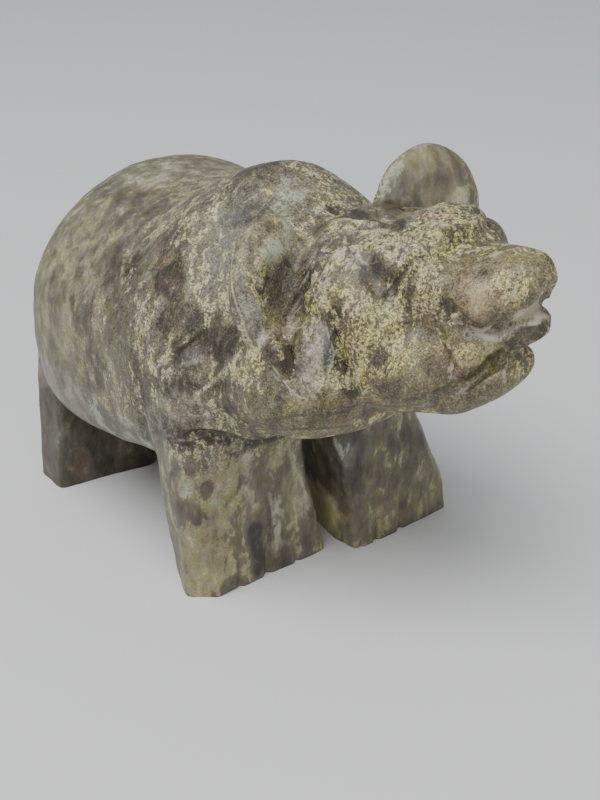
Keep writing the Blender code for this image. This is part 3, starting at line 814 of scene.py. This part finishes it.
def carve_body(skin):
    """The shoulder's hollow and its sharp ridges, the fold behind it, the groove over the right
    foreleg, the groove between hump and ear, a fold on the flank and small dips."""
    dent(skin, (-21, -0.5, 41), (4, 4.5, 3), 0.7)
    dent(skin, (-22.3, -3, 36.6), (3, 3.5, 3), 0.5)
    for path in SHOULDER_RIDGES:
        ledge(skin, path, 3, 0.7)
        groove(skin, path, 1, -0.2)
    groove(skin, SHOULDER_FOLD, 1.6, 0.5)
    groove(skin, LEG_TOP, 1.8, 1.1)
    groove(skin, NECK_FOLD, 2, 0.3)
    groove(skin, FLANK_FOLD, 2.4, 0.4)
    dent(skin, (-20.4, 7.2, 48), (3, 3, 4), 0.5)
    for height in (25.4, 20.6):
        dent(skin, (-24.6, 2.6, height), (1.6, 1.4, 1), 0.6)
    skin.press()


# The unevenness that grinding by hand leaves: (size, depth), in parts
UNEVENNESS = [(7, 0.22), (2.6, 0.09), (1.1, 0.03)]


def roughen(skin):
    for size, depth in UNEVENNESS:
        skin.depths += depth * ripple(skin.points, size)
    skin.press()


def thin_out(obj):
    """Leaves out what triangles flat places can spare."""
    decimate = obj.modifiers.new("Decimate", "DECIMATE")
    decimate.ratio = min(1, TRIANGLES / (2 * len(obj.data.polygons)))
    apply_modifiers(obj)


def flatten_soles(obj):
    """Cuts the skin flat at the soles and closes it there."""
    bm = bmesh.new()
    bm.from_mesh(obj.data)
    everything = bm.verts[:] + bm.edges[:] + bm.faces[:]
    made = bmesh.ops.bisect_plane(
        bm, geom=everything, plane_co=(0, 0, 0), plane_no=(0, 0, 1), clear_inner=True
    )
    rim = [item for item in made["geom_cut"] if isinstance(item, bmesh.types.BMEdge)]
    bmesh.ops.edgeloop_fill(bm, edges=rim)
    bmesh.ops.triangulate(bm, faces=[face for face in bm.faces if len(face.verts) > 4])
    bmesh.ops.recalc_face_normals(bm, faces=bm.faces)
    bm.to_mesh(obj.data)
    bm.free()


def carved_bear():
    body = fuse("body", trunk(), TRUNK_GRAIN, smoothing=20)
    body = fuse("body", [body] + legs() + head() + ears(), CLAY_GRAIN, smoothing=13)
    for hollow in hollows():
        cut(body, hollow)
    body = fuse("bear_carving", [body], CARVED_GRAIN, smoothing=4)
    skin = Skin(body)
    carve_face(skin)
    refine_face(skin)
    carve_body(skin)
    roughen(skin)
    thin_out(body)
    flatten_soles(body)
    lay_stone(body)
    return body


def fit_to_solid(obj):
    """Moves the skin to where the solid stands, keeps every point inside the solid's box and
    returns the move."""
    low, high = (np.array(corner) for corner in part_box("bear"))
    corners = np.array([corner[:] for corner in obj.bound_box])
    shift = (low + high) / 2 - (corners.min(0) + corners.max(0)) / 2
    shift[2] = 0
    points = np.empty(len(obj.data.vertices) * 3)
    obj.data.vertices.foreach_get("co", points)
    points = np.clip(points.reshape(-1, 3) + shift, low, high)
    obj.data.vertices.foreach_set("co", points.ravel())
    obj.data.update()
    return shift


# Stone: the fields that are spread over the skin for the material, painted shade and painted light among
# them

# How the borders of stains wander: (size, how far), in parts, the width of a stain from which they
# do so in full, and the noise's seed
WANDER = [(3, 1.5), (1.1, 0.7)]
FREE_WIDTH = 5
WANDER_SEED = 3
# The share of a stain's width over which it fades out
SOFT_EDGE = 0.5
# The least and the most of one kind of stone at a point
LEAST, MOST = -1.3, 0.95
# The value, in line widths, of a point that lies off every thin line
OFF_LINE = 3.0
# Where the photograph softens, in parts: from here back over this length, and from here down
REAR_FROM, REAR_LENGTH = 8, 22
LEGS_FROM, LEGS_LENGTH = 28, 8


def wandering(points, size):
    return np.array([perlin.noise_vector(point) for point in (points / size).tolist()])


def stain(skin, stains, space, shares):
    """Adds up how much of each kind of stone lies at every point, with the painted shade and painted light
    that some stains carry.
    """
    wander = sum(far * wandering(skin.points, size) for size, far in WANDER)
    for places, kinds in stains:
        for kind, (width, amount) in kinds.items():
            points = skin.points + wander * min(1, width / FREE_WIDTH)
            path = np.array([in_parts(place, space) for place in places])
            if len(path) > 1:
                path = smooth_path(list(path), steps=5)
            close = in_box(points, path.min(0) - width, path.max(0) + width)
            gaps = np.linalg.norm(points[close, None] - path, axis=2).min(1)
            share = np.clip((1 - gaps / width) / SOFT_EDGE, 0, 1)
            shares[kind][close] += amount * share**2 * (3 - 2 * share)


def draw_lines(skin, kind):
    """Keeps for each point its place across the nearest thin line of a kind, from -1 to 1 inside
    it, and the line's strength there, so that the material can draw it finer than the mesh. The
    lines are partly the stone's own and partly painted shade in grooves and painted highlights on
    ridges and the right eye."""
    across = np.full(len(skin.points), OFF_LINE)
    strength = np.zeros(len(skin.points))
    for space, lines in ((HEAD, HEAD_LINES), (BODY, BODY_LINES)):
        for path, makings in lines:
            if kind not in makings:
                continue
            width = makings[kind]
            reach = 1 + 2 * width
            close, away, fade = beside(skin, path, reach, space)
            fade = fade * np.clip(2 - 2 * np.abs(away) / reach, 0, 1)
            nearer = np.abs(away / width) < np.abs(across[close])
            chosen = close[nearer]
            across[chosen] = np.clip((away / width)[nearer], -OFF_LINE, OFF_LINE)
            strength[chosen] = fade[nearer]
    skin.spread(kind + "_line_across", across)
    skin.spread(kind + "_line_strength", strength)


def lay_stone(obj):
    """Spreads the kinds of stone, the calm places and the thin lines over the finished skin. Some of the
    stains and thin lines carry painted shade, painted light and painted highlights.
    """
    skin = Skin(obj)
    shares = {kind: np.zeros(len(skin.points)) for kind in KINDS}
    perlin.seed_set(WANDER_SEED)
    stain(skin, HEAD_STAINS, HEAD, shares)
    stain(skin, BODY_STAINS, BODY, shares)
    for kind, share in shares.items():
        skin.spread(kind, np.clip(share, LEAST, MOST))
    rear = np.clip((skin.points[:, 1] - REAR_FROM) / REAR_LENGTH, 0, 1)
    low = np.clip((LEGS_FROM - skin.points[:, 2]) / LEGS_LENGTH, 0, 1)
    left_ear = np.clip(2 * within(skin.points, (15, 2, 8), (11, 5, 11), space=HEAD), 0, 1)
    skin.spread("rear", rear)
    skin.spread("calm", np.maximum(np.maximum(rear, low), left_ear))
    draw_lines(skin, "light")
    draw_lines(skin, "dark")


# Material: mottled agate, from noise and from where each kind of stone lies, with painted shade and
# painted highlights from some stains and lines

def rgb(red, green, blue):
    return (red, green, blue, 1)


class Graph:
    """A material's nodes, made by short calls that link or set each input."""

    def __init__(self, name):
        self.material = bpy.data.materials.new(name)
        self.material.use_nodes = True
        self.tree = self.material.node_tree
        self.shader = self.tree.nodes["Principled BSDF"]

    def give(self, socket, value):
        if isinstance(value, bpy.types.NodeSocket):
            self.tree.links.new(value, socket)
        else:
            socket.default_value = value

    def node(self, kind, inputs, **settings):
        node = self.tree.nodes.new("ShaderNode" + kind)
        for name, value in settings.items():
            setattr(node, name, value)
        for name, value in inputs.items():
            self.give(node.inputs[name], value)
        return node

    def math(self, operation, a, b=0.0):
        return self.node("Math", {0: a, 1: b}, operation=operation).outputs[0]

    def times(self, a, b):
        return self.math("MULTIPLY", a, b)

    def total(self, *values):
        result = values[0]
        for value in values[1:]:
            result = self.math("ADD", result, value)
        return result

    def step(self, value, low, high):
        """0 below low, 1 above high and a smooth rise between."""
        inputs = {"Value": value, "From Min": low, "From Max": high}
        return self.node("MapRange", inputs, interpolation_type="SMOOTHSTEP").outputs[0]

    def noise(self, vector, scale, detail=2.0, roughness=0.5):
        inputs = {"Vector": vector, "Scale": scale, "Detail": detail, "Roughness": roughness}
        return self.node("TexNoise", inputs).outputs["Fac"]

    def mix(self, factor, a, b):
        inputs = {"Factor": factor, 6: a, 7: b}
        return self.node("Mix", inputs, data_type="RGBA").outputs[2]

    def tinted(self, colour, factor, tint, other_tint):
        """A colour multiplied by the first tint, or by the other one as the factor rises to 1."""
        inputs = {0: 1.0, 6: colour, 7: self.mix(factor, rgb(*tint), rgb(*other_tint))}
        return self.node("Mix", inputs, data_type="RGBA", blend_type="MULTIPLY").outputs[2]

    def spread(self, name):
        """What was spread over the skin under a name."""
        return self.node("Attribute", {}, attribute_name=name).outputs["Fac"]


# The stone's colours from its dark bands to the tips of its moss, and how light a tone takes each
TONES = (0, 0.22, 0.45, 0.7, 1)
SHADES = (
    (0.034, 0.029, 0.022),
    (0.085, 0.073, 0.053),
    (0.162, 0.146, 0.104),
    (0.29, 0.271, 0.166),
    (0.57, 0.54, 0.3),
)
# Kinds of stone that show over those colours: the noises that break up a kind's border, where it
# sets in and where it is full, how strongly it shows, and its colours in dark and in bright places.
# The pale quartz kind also makes the painted highlight on the tongue's top.
OVERLAYS = {
    "rust": (dict(patch=1.6, blot=1.4), 0.2, 1.0, 0.8, (0.12, 0.078, 0.048), (0.38, 0.29, 0.17)),
    "teal": (
        dict(patch=1.4, blot=1.6, grain=1.2), 0.25, 1.0, 0.75, (0.07, 0.083, 0.073), (0.38, 0.43, 0.355),
    ),
    "quartz": (
        dict(blot=1.8, clump=1.4, grain=1.0), 0.25, 0.8, 0.8, (0.14, 0.124, 0.102), (0.41, 0.372, 0.305),
    ),
}
PIT = (0.05, 0.042, 0.03)
# Thin lines, partly the stone's own and partly painted shade in grooves (dark) and painted
# highlights on ridges and a glint (light): how strongly they show, and their colour
LINES_WITH_PAINTED_SHADE_AND_HIGHLIGHT = {"dark": (0.85, (0.045, 0.037, 0.03)), "light": (0.65, (0.46, 0.43, 0.34))}


class Stone(Graph):
    """The nodes of mottled stone: its noises, by name, and what calms the finest of them."""

    def __init__(self, name):
        super().__init__(name)
        place = self.node("TexCoord", {}).outputs["Object"]
        inputs = {"Vector": place, "Scale": 300.0, "Detail": 2.0}
        drift = self.node("TexNoise", inputs).outputs["Color"]
        inputs = {0: drift, 1: (0.0016, 0.0016, 0.0016), 2: place}
        place = self.node("VectorMath", inputs, operation="MULTIPLY_ADD").outputs[0]
        upright = self.node("Mapping", {"Vector": place, "Scale": (1, 1, 0.5)}).outputs[0]
        inputs = {"Vector": place, "Rotation": (0.4, 0.3, 0), "Scale": (1, 1, 0.18)}
        leaning = self.node("Mapping", inputs).outputs[0]
        self.noises = {
            "cloud": self.noise(place, 85.0),
            "green": self.noise(upright, 290.0, 3.0),
            "patch": self.noise(upright, 330.0, 3.0, 0.55),
            "hue": self.noise(place, 500.0, 2.0),
            "blot": self.noise(upright, 560.0, 3.0, 0.6),
            "clump": self.noise(upright, 1100.0, 3.0, 0.6),
            "streak": self.noise(leaning, 1500.0, 3.0, 0.6),
            "grain": self.noise(place, 2500.0, 2.0, 0.6),
            "speck": self.noise(place, 5200.0, 1.0),
        }
        self.rear = self.spread("rear")
        self.calmer = self.math("SUBTRACT", 1.0, self.times(self.spread("calm"), 0.85))

    def weigh(self, **gains):
        """Adds up noises, each centred on zero and multiplied by its gain."""
        centred = [
            self.times(self.math("SUBTRACT", self.noises[name], 0.5), gain) for name, gain in gains.items()
        ]
        return self.total(*centred)

    def fine(self, **gains):
        """The same for fine noises, which are weaker in the calm places."""
        return self.times(self.weigh(**gains), self.calmer)

    def growth(self):
        """How densely moss grows."""
        clusters = self.total(self.weigh(cloud=0.7, patch=1.8, blot=3.2), self.fine(clump=2.2))
        return self.total(self.spread("moss"), clusters, -0.1)

    def tone(self, growth):
        """How light the stone is: the smooth stone's tone, and the moss's where that covers it."""
        # The dark kind: painted shade in some folds and under the belly, and below zero painted light in
        # shaded places.
        dark = self.spread("dark")
        blur = self.times(self.rear, 0.35)
        border = self.math("SUBTRACT", -0.15, blur)
        cover = self.step(self.total(growth, self.fine(grain=1.4)), border, self.total(blur, 0.2))
        smooth = self.total(
            0.43,
            self.times(dark, -0.42),
            self.weigh(cloud=0.3, patch=0.5, blot=0.7, streak=0.3),
            self.fine(grain=0.8, clump=0.5, speck=0.96),
        )
        moss = self.total(
            0.62,
            self.times(dark, -0.25),
            self.weigh(blot=0.6),
            self.fine(grain=2.1, clump=1.2, speck=1.6),
        )
        cover = self.times(cover, self.total(1.0, self.times(self.rear, -0.3)))
        return self.node("Mix", {0: cover, 2: smooth, 3: moss}).outputs[0]

    def shade(self, tone):
        """The colour of a tone."""
        ramp = self.node("ValToRGB", {0: tone})
        stops = ramp.color_ramp.elements
        for between in TONES[1:-1]:
            stops.new(between)
        for stop, shade in zip(stops, SHADES):
            stop.color = rgb(*shade)
        return ramp.outputs["Color"]

    def line(self, kind):
        """1 inside the thin lines of a kind, and 0 outside, broken up by a noise. The lines are partly
        the stone's own and partly painted shade in grooves and painted highlights on ridges.
        """
        across = self.math("ABSOLUTE", self.spread(kind + "_line_across"))
        broken = self.step(self.noises["clump"], 0.36, 0.54)
        strength = self.times(self.spread(kind + "_line_strength"), broken)
        return self.times(self.step(across, 1, 0.4), strength)


def agate():
    """Moss agate: smooth brown-grey stone, in places dark, pale, blue-green or rusty, grown through
    with granular pale moss that has dark pits in it. Painted shade darkens some folds, grooves and
    the hind leg under the belly, painted light brightens the shaded mouth and the inner sides of the
    front legs, and painted highlights lie on ridges, the tongue's top and the right eye."""
    stone = Stone("moss_agate")
    growth = stone.growth()
    tone = stone.tone(growth)
    bright = stone.step(tone, 0.2, 0.8)
    yellow = stone.step(stone.noises["hue"], 0.4, 0.65)
    green = stone.step(stone.noises["green"], 0.42, 0.58)
    colour = stone.tinted(stone.shade(tone), yellow, (1, 0.99, 1.06), (1.0, 0.985, 0.82))
    colour = stone.tinted(colour, green, (1.03, 0.988, 1.01), (0.975, 1.01, 0.945))
    colour = stone.tinted(colour, stone.spread("warm"), (1, 1, 0.99), (1, 0.95, 0.72))
    for kind, (border, start, full, strength, dark, light) in OVERLAYS.items():
        share = stone.step(stone.total(stone.spread(kind), stone.weigh(**border)), start, full)
        overlay = stone.mix(bright, rgb(*dark), rgb(*light))
        colour = stone.mix(stone.times(share, strength), colour, overlay)

    pits = stone.step(stone.weigh(grain=-2.0, clump=-1.2), 0.32, 0.5)
    in_moss = stone.step(growth, -0.4, 0.2)
    pits = stone.times(stone.times(pits, in_moss), stone.times(stone.calmer, 0.7))
    colour = stone.mix(pits, colour, rgb(*PIT))
    # Thin lines: dark ones partly painted shade in grooves, light ones partly painted highlights on ridges
    # and a glint on the right eye.
    for kind, (strength, line_colour) in LINES_WITH_PAINTED_SHADE_AND_HIGHLIGHT.items():
        colour = stone.mix(stone.times(stone.line(kind), strength), colour, rgb(*line_colour))
    stone.give(stone.shader.inputs["Base Color"], colour)

    granular = stone.step(growth, -0.55, 0.05)
    rough = stone.node("MapRange", {"Value": granular, "To Min": 0.46, "To Max": 0.56}).outputs[0]
    stone.give(stone.shader.inputs["Roughness"], rough)
    relief = stone.total(*(
        stone.times(stone.noises[name], height)
        for name, height in (("grain", 0.6), ("clump", 0.5), ("speck", 0.3))
    ))
    inputs = {"Strength": 0.25, "Distance": 0.0003, "Height": stone.times(relief, stone.calmer)}
    stone.give(stone.shader.inputs["Normal"], stone.node("Bump", inputs).outputs[0])
    return stone.material


# Setting: camera, floor and light

def add_camera(shift):
    camera = bpy.data.objects.new("camera", bpy.data.cameras.new("camera"))
    bpy.context.scene.collection.objects.link(camera)
    camera.location = np.array(CAMERA_AT) * PART + shift
    camera.rotation_euler = (math.radians(90 - PITCH), 0, math.radians(-HEADING))
    camera.data.sensor_width = SENSOR
    camera.data.lens = SENSOR * LENS_PIXELS / FRAME_PIXELS
    camera.data.clip_start = 0.01
    bpy.context.scene.camera = camera


def add_floor():
    bm = bmesh.new()
    bmesh.ops.create_grid(bm, x_segments=1, y_segments=1, size=3)
    floor = new_object("floor", bm)
    graph = Graph("pale_floor")
    graph.give(graph.shader.inputs["Base Color"], rgb(0.72, 0.72, 0.73))
    graph.give(graph.shader.inputs["Roughness"], 0.6)
    floor.data.materials.append(graph.material)


def add_light(name, at, aim, size, power, colour=(1, 1, 1)):
    light = bpy.data.objects.new(name, bpy.data.lights.new(name, "AREA"))
    bpy.context.scene.collection.objects.link(light)
    light.location = at
    light.rotation_euler = (Vector(aim) - Vector(at)).to_track_quat("-Z", "Y").to_euler()
    light.data.size = size
    light.data.energy = power
    light.data.color = colour


def add_lights():
    world = bpy.data.worlds.new("studio")
    bpy.context.scene.world = world
    world.use_nodes = True
    background = world.node_tree.nodes["Background"]
    background.inputs["Color"].default_value = (0.93, 0.96, 1, 1)
    background.inputs["Strength"].default_value = 0.4
    add_light("key", (-0.36, -0.12, 0.75), (0, 0, 0.03), 0.6, 8)
    add_light("front", (-0.3, -0.9, 0.5), (0, 0, 0.03), 0.5, 1.2, (1, 0.97, 0.93))


def main():
    carving = carved_bear()
    shift = fit_to_solid(carving)
    carving.data.shade_smooth()
    carving.data.materials.append(agate())
    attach(carving, "root")
    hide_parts("bear")
    add_camera(shift)
    add_floor()
    add_lights()


main()
